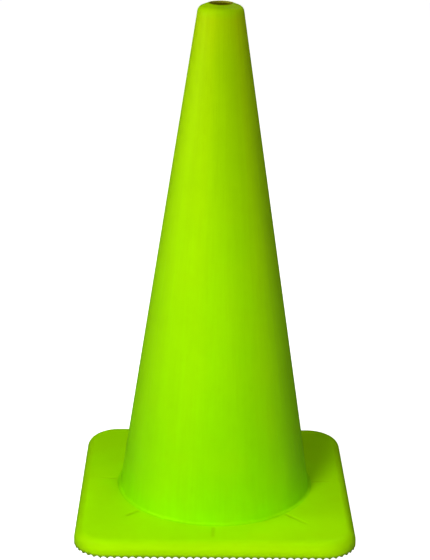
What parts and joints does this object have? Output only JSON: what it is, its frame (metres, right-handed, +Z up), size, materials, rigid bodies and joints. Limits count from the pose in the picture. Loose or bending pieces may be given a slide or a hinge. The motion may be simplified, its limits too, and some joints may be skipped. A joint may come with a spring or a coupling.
{
  "type": "traffic cone",
  "caption": "Tall lime-green road cone with an open domed tip, moulded into a weighted square base with rounded corners and a scalloped grip edge.",
  "frame": {"origin": "on the floor under the cone's axis, at the centre of the square base's underside", "axes": "+Z up along the cone's axis, X and Y square to the sides of the base"},
  "size_m": [0.383, 0.383, 0.711],
  "materials": {
    "sleeve_pvc": "lime-green moulded flexible PVC, satin to semi-gloss",
    "base_pvc": "lime-green moulded flexible PVC, satin to semi-gloss",
    "recycled_pvc": "dark recycled PVC, matte"
  },
  "bodies": {
    "root": {"cone_body": "sleeve_pvc", "base_skin": "base_pvc", "ballast_slab": "recycled_pvc"}
  },
  "joints": []
}
